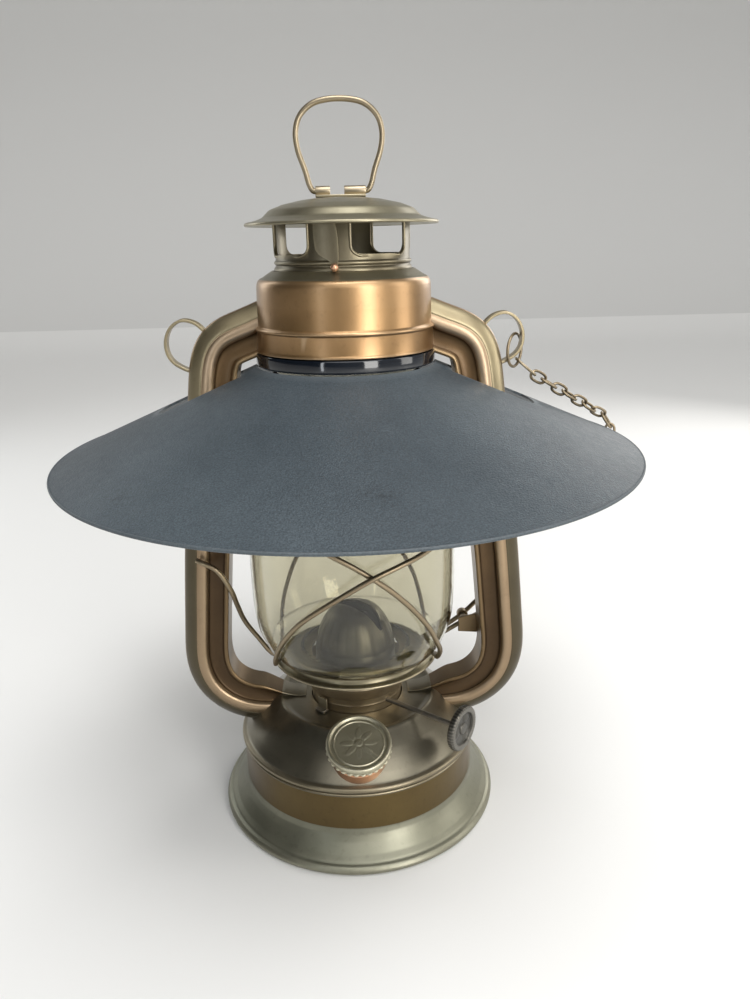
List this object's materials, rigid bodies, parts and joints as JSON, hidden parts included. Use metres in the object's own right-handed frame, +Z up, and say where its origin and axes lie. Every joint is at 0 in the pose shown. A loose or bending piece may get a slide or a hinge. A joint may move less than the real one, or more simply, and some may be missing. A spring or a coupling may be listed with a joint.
{
  "type": "oil lamp",
  "caption": "Hurricane oil lamp with a stepped round tank, two side air tubes, lifting glass globe, crossed wire guards, wide conical shade, chimney with cap and a lifting loop.",
  "frame": {"origin": "on the floor under the middle of the tank's foot", "axes": "+Z up, -Y to the front where the fuel cap is, +X to the lamp's right-hand air tube as seen from the front"},
  "size_m": [0.2414, 0.2382, 0.3003],
  "materials": {
    "bronze": "satin",
    "copper": "satin",
    "brown": "satin",
    "olive": "satin",
    "slate": "satin",
    "shade": "matt textured",
    "black": "gloss",
    "steel": "satin",
    "glass": "clear",
    "wick": "matt",
    "cork": "matt"
  },
  "bodies": {
    "lamp_body": {"tank_lower_shell": "olive", "tank_floor": "slate", "tank_upper_shell": "slate", "filler_neck": "copper", "burner_socket": "slate", "burner_base": "olive", "burner_cone": "slate", "wick_tube": "bronze", "burner_clip": "steel", "left_air_tube": "bronze", "right_air_tube": "bronze", "hood": "copper", "left_ear": "brown", "right_ear": "brown", "shade": "shade", "shade_collar": "black", "lever_bracket": "bronze", "lever_pin": "steel"},
    "globe_carrier": {"globe_plate": "slate", "globe": "glass", "front_guard_a": "brown", "front_guard_b": "brown", "rear_guard_a": "brown", "rear_guard_b": "brown", "left_guide_wire": "brown"},
    "lift_lever": {"lift_lever": "brown"},
    "chimney": {"chimney": "olive", "chimney_cap": "olive", "chimney_seam": "olive", "chimney_rivet": "steel", "loop_bracket": "steel"},
    "lifting_loop": {"lifting_loop": "steel"},
    "cap_gasket": {"cap_gasket": "cork"},
    "fuel_cap": {"fuel_cap": "olive"},
    "wick": {"wick": "wick"},
    "wick_winder": {"wick_shaft": "brown", "wick_wheel": "slate", "wick_sprocket_inner": "bronze", "wick_sprocket_outer": "bronze"},
    "chain": {"chain_ring": "brown", "chain_long_link": "steel", "chain_link_1": "brown", "chain_link_2": "brown", "chain_link_3": "brown", "chain_link_4": "brown", "chain_link_5": "brown", "chain_link_6": "brown", "chain_link_7": "brown"},
    "chain_tail": {"chain_tail_1": "brown", "chain_tail_2": "brown", "chain_tail_3": "brown", "chain_tail_4": "brown", "chain_tail_5": "brown"}
  },
  "joints": [
    {"name": "globe_lift", "type": "slide", "parent": "lamp_body", "child": "globe_carrier", "axis": [0, 0, 1], "range_m": [0, 0.0088]},
    {"name": "lever_tilt", "type": "hinge", "parent": "lamp_body", "child": "lift_lever", "pos_m": [0.052, 0.0126, 0.077], "axis": [0, 1, 0], "range_deg": [0, 18.1]},
    {"name": "chimney_lift", "type": "slide", "parent": "lamp_body", "child": "chimney", "axis": [0, 0, 1], "range_m": [0, 0.012]},
    {"name": "loop_swing", "type": "hinge", "parent": "chimney", "child": "lifting_loop", "pos_m": [0, 0, 0.2674], "axis": [1, 0, 0], "range_deg": [-85, 85]},
    {"name": "gasket_rise", "type": "slide", "parent": "lamp_body", "child": "cap_gasket", "axis": [0, -0.3584, 0.9336], "range_m": [0, 0.006]},
    {"name": "cap_turn", "type": "hinge", "parent": "cap_gasket", "child": "fuel_cap", "pos_m": [0, -0.0447, 0.0522], "axis": [0, -0.3584, 0.9336], "range_deg": [0, 720]},
    {"name": "winder_turn", "type": "hinge", "parent": "lamp_body", "child": "wick_winder", "pos_m": [0.02067, -0.02214, 0.054], "axis": [0.7771, -0.6293, 0], "range_deg": [-90, 90]},
    {"name": "wick_rise", "type": "slide", "parent": "lamp_body", "child": "wick", "axis": [0, 0, 1], "range_m": [-0.0048, 0.0048]},
    {"name": "chain_lift", "type": "hinge", "parent": "lamp_body", "child": "chain", "pos_m": [0.0692, 0.0007, 0.212], "axis": [0.4711, -0.8821, 0], "range_deg": [0, 22]},
    {"name": "tail_swing", "type": "hinge", "parent": "chain", "child": "chain_tail", "pos_m": [0.1157, 0.0246, 0.172], "axis": [0.4711, -0.8821, 0], "range_deg": [0, 60]}
  ],
  "couplings": [
    {"joint": "lever_tilt", "follows": "globe_lift", "rad_per_m": 35.7},
    {"joint": "gasket_rise", "follows": "cap_turn", "m_per_rad": 0.00045},
    {"joint": "wick_rise", "follows": "winder_turn", "m_per_rad": 0.003}
  ]
}
